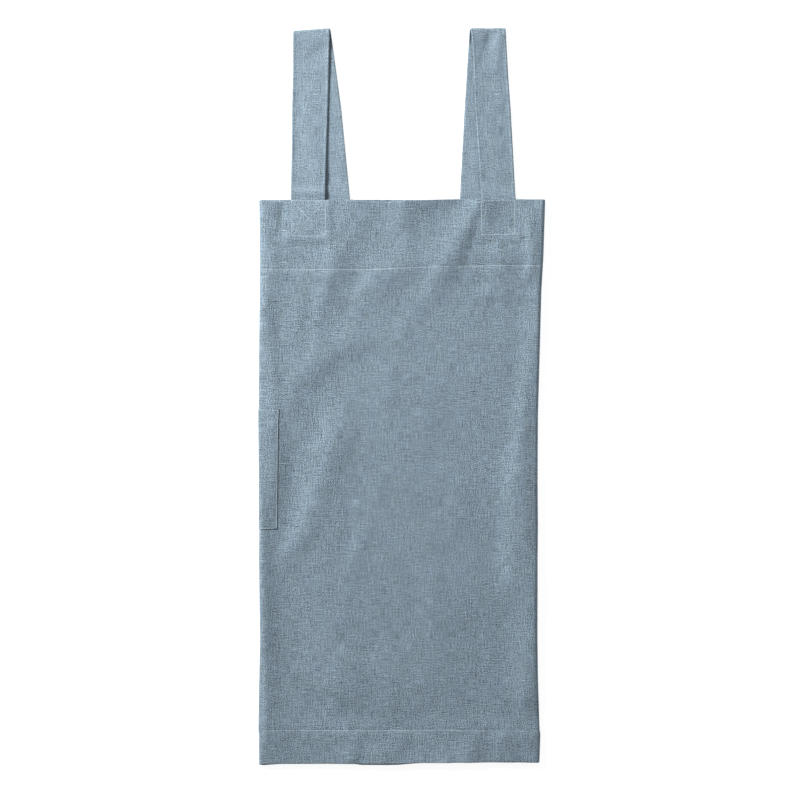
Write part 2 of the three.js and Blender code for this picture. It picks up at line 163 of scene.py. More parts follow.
# A strap's halves at stations from the turn-over down to the body's top edge: the middle from the
# body's centre line in shares of its width, the width as a share of the strap's, how far the edges
# curl up and how far the front half stands off, in shares of the loft
STRAPS = {
    "left": {
        "slope": 0.082,
        "front": table(
            "down middle wide curl stand",
            (0.00, -0.3178, 1.037, 0.00, 1.00),
            (0.07, -0.3185, 1.030, 0.00, 0.95),
            (0.14, -0.3192, 1.020, 0.02, 0.40),
            (0.28, -0.3203, 1.015, 0.05, 0.08),
            (0.47, -0.3231, 1.010, 0.05, 0.04),
            (0.75, -0.3270, 0.980, 0.05, 0.08),
            (0.88, -0.3287, 0.972, 0.02, 0.60),
            (1.00, -0.3304, 0.965, 0.00, 1.40),
        ),
        "back": table(
            "down middle wide",
            (0.00, -0.3165, 1.030),
            (0.47, -0.2760, 1.000),
            (1.00, -0.2448, 1.000),
        ),
    },
    "right": {
        "slope": 0.003,
        "front": table(
            "down middle wide curl stand",
            (0.00, 0.3046, 0.988, 0.00, 1.00),
            (0.06, 0.3084, 0.962, 0.04, 0.90),
            (0.12, 0.3110, 0.950, 0.05, 0.65),
            (0.20, 0.3136, 0.957, 0.05, 0.38),
            (0.30, 0.3166, 0.966, 0.05, 0.15),
            (0.47, 0.3228, 0.990, 0.05, 0.05),
            (0.75, 0.3335, 0.970, 0.05, 0.08),
            (1.00, 0.3424, 0.955, 0.00, 0.30),
        ),
        "back": table(
            "down middle wide",
            (0.00, 0.3035, 1.000),
            (0.47, 0.2860, 1.005),
            (1.00, 0.2685, 1.000),
        ),
    },
}

# Creases of the straps: which half of which strap, each end as (down in shares of the strap's run,
# across from -0.5 to 0.5 of its width), its half-width and its rise
STRAP_CREASES = table(
    "strap half down0 across0 down1 across1 wide rise",
    ("left", "front", 0.12, 0.36, 0.24, -0.22, 0.008, -0.0019),
    ("left", "front", 0.40, -0.42, 0.72, -0.30, 0.009, -0.0008),
    ("left", "front", 0.62, 0.10, 0.93, 0.28, 0.010, 0.0008),
    ("left", "front", 0.30, 0.25, 0.52, 0.10, 0.010, 0.0005),
    ("left", "front", 0.953, -0.60, 0.955, 0.60, 0.0055, 0.0018),
    ("left", "back", 0.55, 0.30, 0.92, 0.05, 0.008, -0.0009),
    ("right", "front", 0.00, 0.08, 0.20, -0.20, 0.0060, -0.0023),
    ("right", "front", 0.02, 0.29, 0.11, -0.04, 0.0035, -0.0010),
    ("right", "front", 0.03, 0.34, 0.22, 0.20, 0.007, 0.0012),
    ("right", "front", 0.24, -0.14, 0.44, -0.10, 0.006, -0.0005),
    ("right", "front", 0.44, 0.18, 0.60, 0.20, 0.006, -0.0006),
    ("right", "front", 0.62, -0.10, 0.95, 0.05, 0.010, 0.0006),
    ("right", "back", 0.55, -0.35, 0.75, -0.25, 0.009, -0.0008),
    ("right", "back", 0.68, -0.20, 0.88, -0.05, 0.009, 0.0010),
)


# Sizes and colours that a user would change


def length(name, description, default):
    return FloatProperty(name=name, description=description, default=default, unit="LENGTH")


def colour(name, description, default):
    return FloatVectorProperty(
        name=name, description=description, default=default, subtype="COLOR", min=0, max=1
    )


class ApronSizes(bpy.types.PropertyGroup):
    """The apron's sizes."""

    body_width: length("Body width", "Across the front, between the side folds", 0.411)
    body_length: length("Body length", "From the bottom edge to the top edge", 0.817)
    left_flap: length("Left flap", "Behind the front, from the left fold", 0.345)
    right_flap: length("Right flap", "Behind the front, from the right fold", 0.328)
    cloth_wall: length("Cloth wall", "One layer of cloth", 0.001)
    hem_wall: length("Hem wall", "What the turned-in edge adds", 0.0006)
    clearance: length("Clearance", "Between layers that lie on each other", 0.00035)
    top_band: length("Top band", "Turned in along the top edge", 0.100)
    bottom_hem: length("Bottom hem", "Turned in along the bottom edge", 0.048)
    stitch_step: length("Hem step", "The length over which a hem's wall sets in", 0.002)
    hem_sink: length("Hem drape", "How far the layers above take to come down", 0.025)
    fold_reach: length("Fold reach", "How far the side folds reach past flat layers", 0.005)
    side_rise: length("Side rise", "How much the side folds stand up", 0.0016)
    fold_lift: length("Fold lift", "How far the highest fold stands up", 0.0064)
    puff: length("Puff", "How much the front stands off the layers below", 0.0022)
    strap_width: length("Strap width", "Across a strap", 0.051)
    strap_wall: length("Strap wall", "The doubled cloth of a strap", 0.0018)
    strap_run: length("Strap run", "From the top edge to the turn-over", 0.2497)
    strap_seam: length("Strap seam", "The end sewn behind the top band", 0.053)
    strap_loft: length("Strap loft", "The gap inside the turn-over", 0.0033)
    pocket_width: length("Pocket width", "Round the left fold", 0.157)
    pocket_shown: length("Pocket shown", "How much of it lies on the front", 0.0303)
    pocket_height: length("Pocket height", "From its bottom to its opening", 0.173)
    pocket_base: length("Pocket base", "From the body's bottom edge up to the pocket", 0.340)
    pocket_wall: length("Pocket wall", "The pocket's cloth", 0.0006)
    pocket_gap: length("Pocket gap", "Between the pocket and the body", 0.0002)
    pocket_hem: length("Pocket hem", "From the pocket's opening to its stitching", 0.018)
    under_level: length("Under level", "How far a layer stays level past what it covers", 0.036)
    under_sink: length("Under drape", "How far it then takes to come down", 0.030)
    seam_level: length("Seam level", "The same, for the front over a strap's end", 0.004)
    seam_sink: length("Seam drape", "How far it then takes to come down", 0.009)
    edge_level: length("Edge level", "How far past the top edge straps stay up", 0.003)
    edge_sink: length("Edge drape", "How far they then take to come down", 0.030)
    stitch_pitch: length("Stitch pitch", "From one stitch to the next", 0.0029)
    stitch_length: length("Stitch length", "The part of a stitch that shows", 0.0021)
    stitch_radius: length("Thread radius", "Half the thread's width", 0.00034)
    thread_pitch: length("Yarn pitch", "From one yarn of the weave to the next", 0.00145)
    wrinkle: length("Wrinkle", "Height of the small wrinkles of washed cloth", 0.00016)
    seed: IntProperty(name="Seed", description="Chooses the small wrinkles", default=7)


class ApronColours(bpy.types.PropertyGroup):
    """The apron's colours."""

    warp: colour("Warp", "The blue yarn that runs up the cloth", (0.126, 0.176, 0.220))
    weft: colour("Weft", "The pale yarn that runs across it", (0.192, 0.241, 0.283))
    thread: colour("Thread", "The sewing thread", (0.52, 0.60, 0.66))
    floor: colour("Floor", "The table's own tone, under its light", (0.25, 0.25, 0.25))


# Shapes


def smooth(at, start, end):
    """3 t^2 - 2 t^3, with t the share of the way from start to end, kept from 0 to 1."""
    t = np.clip((at - start) / (end - start), 0, 1)
    return t * t * (3 - 2 * t)


def cover(at, low, high, level, sink):
    """1 from low to high and level past them, then down to 0 over sink, as smooth() does."""
    return 1 - smooth(np.maximum(low - at, at - high) - level, 0, sink)


def spread(places, step):
    """The given places, with even steps of about step between them."""
    parts = [
        np.linspace(a, b, max(1, round(abs(b - a) / step)), endpoint=False)
        for a, b in zip(places, places[1:])
    ]
    return np.concatenate([*parts, [places[-1]]])


def folds(chart, x, y, width, height):
    """The sum over the chart's rows of rise exp(-(d / w)^2 - END_FALL p^2): d is the distance from
    the row's line less its bow of 4 bow t (1 - t), w the half-width on that side, t the share of
    the way along, and p how far t is past the fade at either end, in fades."""
    total = np.zeros(np.broadcast(x, y).shape)
    for i in range(len(chart["name"])):
        x0, x1 = chart["x0"][i] * width, chart["x1"][i] * width
        y0, y1 = chart["y0"][i] * height, chart["y1"][i] * height
        way = np.hypot(x1 - x0, y1 - y0)
        t = ((x - x0) * (x1 - x0) + (y - y0) * (y1 - y0)) / way**2
        held = np.clip(t, 0, 1)
        off = ((y - y0) * (x1 - x0) - (x - x0) * (y1 - y0)) / way
        off = off - 4 * chart["bow"][i] * width * held * (1 - held)
        wide = width * np.where(off < 0, chart["west"][i], chart["east"][i])
        past = np.maximum(0, np.maximum(FADE - t, t - 1 + FADE)) / FADE
        total += chart["rise"][i] * np.exp(-((off / wide) ** 2) - END_FALL * past**2)
    return total


def ripples(x, y, seed, shortest, longest, stretch=1.0, count=48):
    """The sum of count cosine waves of even spread in heading and length, of mean square 1; their
    crests are stretch times as long up the cloth."""
    rng = np.random.default_rng(seed)
    heading = np.pi * (np.arange(count) + rng.random(count)) / count
    number = 2 * np.pi / rng.uniform(shortest, longest, count)
    start = rng.uniform(0, 2 * np.pi, count)
    total = np.zeros(np.broadcast(x, y).shape)
    for a, k, s in zip(heading, number, start):
        total += np.cos(k * (x * np.cos(a) + y / stretch * np.sin(a)) + s)
    return total * np.sqrt(2 / count)


class Lay:
    """The lying apron as functions of x, from the body's centre line, and y, up from its bottom
    edge: the heights of the layers, and points on the cloth."""

    def __init__(self, sizes):
        self.s = sizes
        self.left_flap_edge = -sizes.body_width / 2 + sizes.left_flap
        self.right_flap_edge = sizes.body_width * OUTLINE["right"][0] - sizes.right_flap
        self.pocket_top = sizes.pocket_base + sizes.pocket_height
        self.band_line = sizes.body_length - sizes.top_band
        low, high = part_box("body_panel")
        # the CAD's frame has its origin in the middle of the whole box, this one at the hem
        self.place = np.array(
            [
                high[0] - OUTLINE["right"][-1] * sizes.body_width,
                low[1] + 0.0024 * sizes.body_length,
                0,
            ]
        )

    def outline(self, side, y):
        up = y / self.s.body_length
        return self.s.body_width * np.interp(up, OUTLINE["up"], OUTLINE[side])

    def left(self, y):
        return self.outline("left", y)

    def right(self, y):
        return self.outline("right", y)

    def hemmed(self, y, sink):
        """The wall, with the hems' extra, which comes down over sink."""
        s, start = self.s, self.s.stitch_step / 2
        band = cover(y, self.band_line, s.body_length, start, sink)
        return s.cloth_wall + s.hem_wall * np.maximum(band, cover(y, 0, s.bottom_hem, start, sink))

    def wall(self, y):
        return self.hemmed(y, self.s.stitch_step)

    def room(self, y):
        return self.hemmed(y, self.s.hem_sink)

    def band_at(self, x):
        """The band's row of stitches, which climbs to the right."""
        climb = ((-0.25, -0.1, 0.28), (-0.0011, -0.0003, 0.0047))
        return self.band_line + np.interp(x / self.s.body_width, *climb)

    def over_body(self, y):
        return cover(y, 0, self.s.body_length, self.s.edge_level, self.s.edge_sink)

    def over_seam(self, x, y, side, half, level, sink):
        """How much of a layer lies over a strap's sewn end."""
        s = self.s
        middle = s.body_width * STRAPS[side][half]["middle"][-1]
        across = cover(x, middle - s.strap_width / 2, middle + s.strap_width / 2, level, sink)
        up = cover(y, s.body_length - s.strap_seam, s.body_length, min(level, 0.025), sink)
        return across * up * self.over_body(y)

    def layer(self, y):
        return self.room(np.minimum(y, self.s.body_length)) + self.s.clearance

    def on_right_flap(self, x, y):
        s = self.s
        over = cover(x, self.right_flap_edge, s.body_width, s.under_level, s.under_sink)
        return self.layer(y) * over * self.over_body(y)

    def under_left_flap(self, x, y):
        s = self.s
        start = self.left(y) - s.fold_reach
        across = cover(x, start, start + s.pocket_width - s.pocket_shown, 0, s.under_sink)
        pocket = across * cover(y, s.pocket_base, self.pocket_top, 0, s.under_sink)
        seam = self.over_seam(x, y, "left", "back", s.under_level, s.under_sink)
        return (
            self.on_right_flap(x, y)
            + (s.pocket_wall + s.clearance) * pocket
            + (s.strap_wall + s.clearance) * seam
        )

    def on_left_flap(self, x, y):
        s = self.s
        over = cover(x, -s.body_width, self.left_flap_edge, s.under_level, s.under_sink)
        return self.under_left_flap(x, y) + self.layer(y) * over * self.over_body(y)

    def on_back_ends(self, x, y):
        s = self.s
        seam = self.over_seam(x, y, "right", "back", s.under_level, s.under_sink)
        return self.on_left_flap(x, y) + (s.strap_wall + s.clearance) * seam

    def under_front(self, x, y):
        s = self.s
        seams = sum(
            self.over_seam(x, y, side, "front", s.seam_level, s.seam_sink) for side in STRAPS
        )
        return self.on_back_ends(x, y) + (s.strap_wall + s.clearance) * seams

    def wrinkles(self, x, y):
        """Small wrinkles of washed linen: even waves, and others whose crests are sharp."""
        s = self.s
        fine = ripples(x, y, s.seed, 0.014, 0.040, 1.5)
        sharp = ripples(x, y, s.seed + 1, 0.030, 0.080, 1.4)
        return s.wrinkle * (0.30 * fine - 1.3 * (np.sqrt(sharp**2 + 0.03) - 0.8))

    def puckers(self, x, y):
        """Rows of stitches draw the cloth in: a groove of 0.4 mm, and ripples along it. Above the
        pocket's opening, by the fold, is a groove of 0.8 mm. All are depth exp(-(d / wide)^2)."""
        s = self.s
        total = 0
        for line, seed in ((self.band_at(x), 11), (s.bottom_hem, 12)):
            off = y - line
            along = ripples(x, 0 * y, s.seed + seed, 0.007, 0.022)
            total = total + 0.00016 * along * np.exp(-((off / 0.009) ** 2))
            total = total - 0.0004 * np.exp(-((off / 0.0016) ** 2))
        above = (y - self.pocket_top - 0.0006) / 0.0013
        near = cover(x, self.left(y) + 0.004, self.left(y) + 0.016, 0, 0.004)
        return total - 0.0008 * near * np.exp(-(above**2))

    def relief(self, x, y):
        """How much the front stands up: (r + hypot(r, puff)) / 2, never less than nothing, with r
        the sum of the puff, the folds, the wrinkles and the sides' rise exp(-(d / 2 reach)^2)."""
        s = self.s
        side = np.minimum(x - self.left(y), self.right(y) - x) / (2 * s.fold_reach)
        rise = s.puff + s.fold_lift * folds(FOLDS, x, y, s.body_width, s.body_length)
        rise = rise + s.side_rise * np.exp(-(side**2))
        rise = rise + self.wrinkles(x, y) * smooth(side, 0, 1)
        return (rise + np.hypot(rise, s.puff)) / 2

    def top(self, x, y):
        """The front's outer face."""
        return self.under_front(x, y) + self.relief(x, y) + self.room(y) + self.puckers(x, y)

    def skin(self, zone, at, y, out):
        """(x, z) of the body's section at heights y, a distance out from its outer face. The turns
        are half ellipses from the front down to the flap."""
        s = self.s
        left, right = self.left(y) + s.fold_reach, self.right(y) - s.fold_reach
        if zone == "right flap":
            return self.right_flap_edge + (right - self.right_flap_edge) * at, 0 * y * at - out
        if zone == "front":
            x = right + (left - right) * at
            return x, self.top(x, y) + out
        if zone == "pocket front":
            edge = pocket_edge(self, y)
            x = edge + (left - edge) * at
            return x, self.top(x, y) + out
        if zone == "left flap":
            x = left + (self.left_flap_edge - left) * at
            return x, self.under_left_flap(x, y) - out
        x, way = (right, 1) if zone == "right turn" else (left, -1)
        low = 0 * y if way > 0 else self.under_left_flap(x, y)
        half = (self.top(x, y) - low) / 2
        angle = np.pi * way * (at - 0.5)
        return (
            x + way * (s.fold_reach + out) * np.cos(angle),
            low + half + (half + out) * np.sin(angle),
        )

    def cloth(self, columns, rows, out):
        """Points (row, column, xyz) of the body's cloth, out from its outer face, with the edges'
        stray. columns is a list of (zone, shares along it)."""
        s = self.s
        y = rows[:, None]
        up = y / s.body_length
        parts = []
        for zone, at in columns:
            x, z = np.broadcast_arrays(*self.skin(zone, at[None, :], y, out))
            across = np.clip(x / s.body_width + 0.5, 0, 1)
            behind = float(zone.endswith("flap"))
            if zone.endswith("turn"):
                share = at if zone == "left turn" else 1 - at
                behind = share[None, :] * np.ones_like(up)
            top = np.interp(across, EDGES["across"], EDGES["top"]) * (1 - behind)
            front = np.interp(across, EDGES["across"], EDGES["bottom"])
            flap = np.interp(across, EDGES["across"], EDGES["flap"])
            bottom = front + (flap - front) * behind
            stray = top * smooth(up, 0.9, 1) + bottom * (1 - smooth(up, 0, 0.1))
            parts.append(np.stack([x, y + s.body_length * stray, z], axis=-1))
        return np.concatenate(parts, axis=1) + self.place


# Meshes


def closed_sheet(name, outer, inner, u, v, material):
    """A sheet between two grids of points, closed by a rim whose middle stands out by 0.45 of the
    wall, with the cloth's own lengths (u across, v up) as its UV map, in metres."""
    rows, count = outer.shape[:2]
    at = np.arange(rows * count).reshape(rows, count)
    ring = np.concatenate([at[0, :-1], at[:-1, -1], at[-1, :0:-1], at[:0:-1, 0]])
    within = at[
        np.clip(np.arange(rows), 1, rows - 2)[:, None], np.clip(np.arange(count), 1, count - 2)
    ].ravel()[ring]
    flat_out, flat_in = outer.reshape(-1, 3), inner.reshape(-1, 3)
    way = flat_out[ring] - flat_out[within]
    way /= np.linalg.norm(way, axis=1, keepdims=True)
    wall = np.linalg.norm(flat_out[ring] - flat_in[ring], axis=1, keepdims=True)
    middle = (flat_out[ring] + flat_in[ring]) / 2 + 0.45 * wall * way
    points = np.concatenate([flat_out, flat_in, middle])
    a, b, c, d = at[:-1, :-1], at[1:, :-1], at[1:, 1:], at[:-1, 1:]
    up = np.stack([a, b, c, d], axis=-1).reshape(-1, 4)
    down = up[:, ::-1] + rows * count
    rim = 2 * rows * count + np.arange(len(ring))
    near, after = ring, np.roll(ring, -1)
    over = np.stack([near, after, np.roll(rim, -1), rim], axis=-1)
    under = np.stack([rim, np.roll(rim, -1), after + rows * count, near + rows * count], axis=-1)
    uv = np.stack(np.broadcast_arrays(u[None, :], v[:, None]), axis=-1).reshape(-1, 2)
    uv = np.concatenate([uv, uv, uv[ring]])
    return solid(name, points, np.concatenate([up, down, over, under]), material, uv)


def solid(name, points, faces, material, uv=None):
    """A smooth mesh object at the origin from arrays of points and faces."""
    mesh = bpy.data.meshes.new(name)
    mesh.from_pydata(points, [], faces)
    mesh.polygons.foreach_set("use_smooth", np.ones(len(faces), bool))
    if uv is not None:
        layer = mesh.uv_layers.new(name="cloth")
        layer.data.foreach_set("uv", uv[faces.ravel()].ravel().astype(np.float32))
    mesh.materials.append(material)
    mesh.update()
    thing = bpy.data.objects.new(name, mesh)
    bpy.context.scene.collection.objects.link(thing)
    return thing


def stitches(name, centres, ways, sizes, material):
    """One mesh of stitches, drawn down flat: each an oval of 6 sides round its way, 0.4 as high as
    it is wide, narrower towards its ends, with t at 5 stations from -1 to 1 of its half-length."""
    t = np.array([-1, -0.8, 0, 0.8, 1.0])
    thick = np.array([0.3, 0.85, 1, 0.85, 0.3])
    turn = 2 * np.pi * np.arange(6) / 6
    ways = ways / np.linalg.norm(ways, axis=1, keepdims=True)
    side = np.cross(ways, [0, 0, 1.0])
    side /= np.linalg.norm(side, axis=1, keepdims=True)
    lift = np.cross(side, ways)
    round_it = (
        np.cos(turn)[:, None] * side[:, None, None, :]
        + 0.4 * np.sin(turn)[:, None] * lift[:, None, None, :]
    )
    points = (
        centres[:, None, None, :]
        + 0.5 * sizes.stitch_length * t[None, :, None, None] * ways[:, None, None, :]
        + sizes.stitch_radius * thick[None, :, None, None] * round_it
    )
    k = np.arange(6)
    rings = [
        np.stack([6 * j + k, 6 * j + (k + 1) % 6, 6 * j + 6 + (k + 1) % 6, 6 * j + 6 + k], axis=-1)
        for j in range(4)
    ]
    ends = np.array([[5, 4, 3, 0], [3, 2, 1, 0], [24, 27, 28, 29], [24, 25, 26, 27]])
    one = np.concatenate([*rings, ends])[:, ::-1]
    faces = (one[None] + 30 * np.arange(len(centres))[:, None, None]).reshape(-1, 4)
    return solid(name, points.reshape(-1, 3), faces, material)


def stitch_line(line, pitch, height, jitter=0.00012, seed=3):
    """Centres and ways of stitches a pitch apart along a line of points (x, y), on height(x, y)."""
    rng = np.random.default_rng(seed)
    step = np.hypot(*np.diff(line, axis=0).T)
    along = np.concatenate([[0], np.cumsum(step)])
    at = np.arange(pitch / 2, along[-1], pitch)
    ends = []
    for off in (-0.35, 0.35):
        x = np.interp(at + off * pitch, along, line[:, 0]) + rng.normal(0, jitter, len(at))
        y = np.interp(at + off * pitch, along, line[:, 1]) + rng.normal(0, jitter, len(at))
        ends.append(np.stack([x, y, height(x, y)], axis=-1))
    return (ends[0] + ends[1]) / 2, ends[1] - ends[0]


# Materials


class Nodes:
    """Adds nodes to a material's tree, each joined to what it reads."""

    def __init__(self, name):
        self.material = bpy.data.materials.new(name)
        self.material.use_nodes = True
        self.tree = self.material.node_tree
        self.shader = self.tree.nodes["Principled BSDF"]

    def add(self, kind, **values):
        node = self.tree.nodes.new(kind)
        for key, value in values.items():
            if hasattr(node, key) and key not in node.inputs:
                setattr(node, key, value)
            else:
                self.put(node, key, value)
        return node

    def put(self, node, key, value):
        socket = node.inputs[key]
        if isinstance(value, bpy.types.NodeSocket):
            self.tree.links.new(value, socket)
        else:
            socket.default_value = value

    def math(self, operation, a, b=None, clamp=False):
        node = self.tree.nodes.new("ShaderNodeMath")
        node.operation, node.use_clamp = operation, clamp
        for socket, value in zip(node.inputs, (a, b)):
            if isinstance(value, bpy.types.NodeSocket):
                self.tree.links.new(value, socket)
            elif value is not None:
                socket.default_value = value
        return node.outputs[0]

    def noise(self, where, across, up, detail=2.0, rough=0.5, seed=0.0):
        """Noise with about `across` and `up` cells to the metre, from 0 to 1."""
        scaled = self.tree.nodes.new("ShaderNodeVectorMath")
        scaled.operation = "MULTIPLY"
        self.tree.links.new(where, scaled.inputs[0])
        scaled.inputs[1].default_value = (across, up, 1)
        noise = self.tree.nodes.new("ShaderNodeTexNoise")
        noise.noise_dimensions = "4D"
        self.tree.links.new(scaled.outputs[0], noise.inputs["Vector"])
        noise.inputs["W"].default_value = seed
        noise.inputs["Scale"].default_value = 1
        noise.inputs["Detail"].default_value = detail
        noise.inputs["Roughness"].default_value = rough
        return noise.outputs["Fac"]

    def weigh(self, parts):
        """The sum of gain (value - 0.5) over pairs of value and gain."""
        total = 0.0
        for value, gain in parts:
            part = self.math("MULTIPLY", self.math("SUBTRACT", value, 0.5), gain)
            total = self.math("ADD", part, total)
        return total

    def mix(self, share, a, b, blend="MIX"):
        node = self.tree.nodes.new("ShaderNodeMix")
        node.data_type, node.blend_type = "RGBA", blend
        for at, value in ((0, share), (6, a), (7, b)):
            if isinstance(value, bpy.types.NodeSocket):
                self.tree.links.new(value, node.inputs[at])
            else:
                node.inputs[at].default_value = value if at == 0 else (*value, 1)
        return node.outputs[2]


def linen(name, sizes, colours, light=1.0, grain=1.0, seed=0.0):
    """Chambray of blue warp and pale weft in a plain weave: a warp yarn is on top where
    sin(pi u / p) sin(pi v / p) is over 0. Uneven yarns stand out as short ribs, sin(pi u / p) or
    sin(pi v / p) times noise that is long their way. Specks, thick yarns and a slow cloud are noise
    too, and slubs are rare long pale or dark streaks."""
    n = Nodes(name)
    where = n.add("ShaderNodeUVMap", uv_map="cloth").outputs[0]
    u, v, _ = n.add("ShaderNodeSeparateXYZ", Vector=where).outputs
    # the yarns wander
    pitch = sizes.thread_pitch
    u = n.math("ADD", u, n.math("MULTIPLY", n.noise(where, 90, 90, 1, 0.5, seed + 30), 1.2 * pitch))
    v = n.math("ADD", v, n.math("MULTIPLY", n.noise(where, 90, 90, 1, 0.5, seed + 33), 1.2 * pitch))
    across = n.math("SINE", n.math("MULTIPLY", u, np.pi / pitch))
    up = n.math("SINE", n.math("MULTIPLY", v, np.pi / pitch))
    woven = n.math("MULTIPLY", across, up)
    warp_on_top = n.math("ADD", n.math("MULTIPLY", woven, 0.5), 0.5, clamp=True)
    warp = n.math("SUBTRACT", n.noise(where, 240, 45, 0, 0.5, seed), 0.5)
    weft = n.math("SUBTRACT", n.noise(where, 45, 240, 0, 0.5, seed + 3), 0.5)
    ribs = n.math("MULTIPLY", n.math("MULTIPLY", across, warp), 0.9)
    ribs = n.math("ADD", ribs, n.math("MULTIPLY", n.math("MULTIPLY", up, weft), 0.8))
    slub = n.noise(where, 66, 640, 0, 0.5, seed + 6)
    slub_up = n.noise(where, 640, 50, 0, 0.5, seed + 9)
    speck = n.noise(where, 700, 700, 0, 0.5, seed + 12)
    thick_up = n.noise(where, 900, 62, 0, 0.5, seed + 21)
    thick = n.noise(where, 62, 900, 0, 0.5, seed + 24)
    cloud = n.noise(where, 26, 20, 3, 0.55, seed + 15)
    yarns = ((thick_up, 0.85 * grain), (thick, 0.75 * grain))
    tone = n.weigh(((speck, 2.35 * grain), (cloud, 0.24), *yarns))
    tone = n.math("ADD", n.math("MULTIPLY", ribs, grain), tone)
    for slubs, gain in ((slub, 3.2), (slub_up, -2.2)):
        over = n.math("MAXIMUM", n.math("SUBTRACT", slubs, 0.68), 0.0)
        tone = n.math("ADD", tone, n.math("MULTIPLY", over, gain))
    yarn = n.mix(warp_on_top, tuple(colours.weft), tuple(colours.warp))
    # the dye takes unevenly: patches nearer green-grey and patches nearer blue
    patches = n.noise(where, 60, 48, 2, 0.6, seed + 18)
    hue = n.math("MULTIPLY", n.math("SUBTRACT", patches, 0.5), 2.0)
    hue = n.math("ADD", hue, 0.5, clamp=True)
    tint = n.mix(hue, (1.01, 1.015, 0.965), (0.99, 0.99, 1.03))
    yarn = n.mix(1.0, yarn, tint, "MULTIPLY")
    # light scales the whole cloth's tone: painted light or painted shade, which makes lighter and
    # darker copies of one cloth
    tone_with_painted_light = n.math("MULTIPLY", n.math("ADD", tone, 1.0), light)
    toned = n.tree.nodes.new("ShaderNodeVectorMath")
    toned.operation = "SCALE"
    n.tree.links.new(yarn, toned.inputs[0])
    n.tree.links.new(tone_with_painted_light, toned.inputs["Scale"])
    n.put(n.shader, "Base Color", toned.outputs[0])
    n.put(n.shader, "Roughness", n.math("ADD", n.math("MULTIPLY", speck, 0.12), 0.82))
    n.put(n.shader, "Specular IOR Level", 0.10)
    # a yarn stands highest in the middle of its float, and thick yarns stand higher
    height = n.math("MULTIPLY", n.math("ABSOLUTE", woven), 0.3)
    height = n.math("ADD", height, n.math("MULTIPLY", ribs, 0.3))
    height = n.math("ADD", height, n.math("MULTIPLY", slub, 0.5))
    bump = n.add("ShaderNodeBump", Strength=0.35, Distance=0.0003, Height=height)
    n.put(n.shader, "Normal", bump.outputs[0])
    return n.material


def sewing_thread(colours):
    """Pale cotton thread, lightly mottled along its length."""
    n = Nodes("sewing_thread")
    where = n.add("ShaderNodeTexCoord").outputs["Object"]
    mottle = n.noise(where, 900, 900, 2, 0.5, 1.0)
    shade = n.mix(mottle, tuple(0.82 * c for c in colours.thread), tuple(colours.thread))
    n.put(n.shader, "Base Color", shade)
    n.put(n.shader, "Roughness", 0.7)
    n.put(n.shader, "Specular IOR Level", 0.2)
    return n.material


def table_top(colours):
    """An even pale surface with a trace of tone, lit from below as a light table is."""
    n = Nodes("pale_table")
    where = n.add("ShaderNodeTexCoord").outputs["Object"]
    tone = n.noise(where, 2, 2, 2, 0.5, 4.0)
    shade = n.mix(tone, tuple(0.99 * c for c in colours.floor), tuple(colours.floor))
    n.put(n.shader, "Base Color", shade)
    n.put(n.shader, "Roughness", 0.9)
    n.put(n.shader, "Emission Color", (1, 1, 1, 1))
    n.put(n.shader, "Emission Strength", 0.88)
    return n.material


def material(name, make):
    """The material of that name, made once."""
    return bpy.data.materials.get(name) or make()


# Pieces

TURN = np.linspace(0, 1, 9)[1:-1]  # the inner stations of a side fold
EDGE = 0.0009  # how far in from an edge a row of points keeps its rim crisp


def body_columns(s):
    """The body's columns: the right flap, its fold, the front, the left fold and the left flap."""
    flap = spread([0, EDGE / s.right_flap, 1], 0.02 / s.right_flap)
    front = spread([0, 1], 0.0033 / s.body_width)
    back = spread([0, 1 - EDGE / s.left_flap, 1], 0.018 / s.left_flap)
    return [
        ("right flap", flap),
        ("right turn", TURN),
        ("front", front),
        ("left turn", TURN),
        ("left flap", back),
    ]


def along(points):
    """The distance along a row of points, from its first."""
    return np.concatenate([[0], np.cumsum(np.linalg.norm(np.diff(points, axis=0), axis=1))])


def make_body(lay, cloth):
    """The body: its section, carried up from the bottom edge to the top edge."""
    s = lay.s
    hem = s.bottom_hem + 0.0016 * np.arange(-2, 3)
    pocket = lay.pocket_top + 0.0011 * np.arange(5)
    band = lay.band_line + 0.0009 * np.arange(-3, 9)
    places = [0, EDGE, *hem, *pocket, *band, s.body_length - EDGE, s.body_length]
    rows = spread(places, 0.0039)
    columns = body_columns(s)
    outer = lay.cloth(columns, rows, 0.0)
    inner = lay.cloth(columns, rows, -lay.wall(rows)[:, None])
    u = along(outer[len(rows) // 2])
    return closed_sheet("body_cloth", outer, inner, u, rows, cloth)


def pocket_edge(lay, y):
    """The pocket's free edge on the front, which leans in towards the fold down its height."""
    s = lay.s
    down = (lay.pocket_top - y) / s.pocket_height
    lean = np.interp(down, (0, 0.08, 0.37, 0.75, 1), (0, 0.0013, 0.0028, 0.0048, 0.0040))
    return lay.left(y) + s.pocket_shown - lean


def make_pocket(lay, cloth):
    """The pocket: the body's own section round the left fold, the pocket's gap out."""
    s = lay.s
    end = (s.pocket_width - s.pocket_shown - s.fold_reach) / (s.left_flap - s.fold_reach)
    shown = s.pocket_shown - s.fold_reach
    front = spread([0, EDGE / shown, 1], 0.0018 / shown)
    columns = [
        ("pocket front", front),
        ("left turn", TURN),
        ("left flap", spread([0, end - EDGE / s.left_flap, end], 0.008 / s.left_flap)),
    ]
    base, top = s.pocket_base, lay.pocket_top
    rows = spread([base, base + EDGE, top - s.pocket_hem, top - EDGE, top], 0.0024)
    inner = lay.cloth(columns, rows, s.pocket_gap)
    outer = lay.cloth(columns, rows, s.pocket_gap + s.pocket_wall)
    u = along(outer[len(rows) // 2])
    return closed_sheet("pocket_cloth", outer, inner, u, rows, cloth)


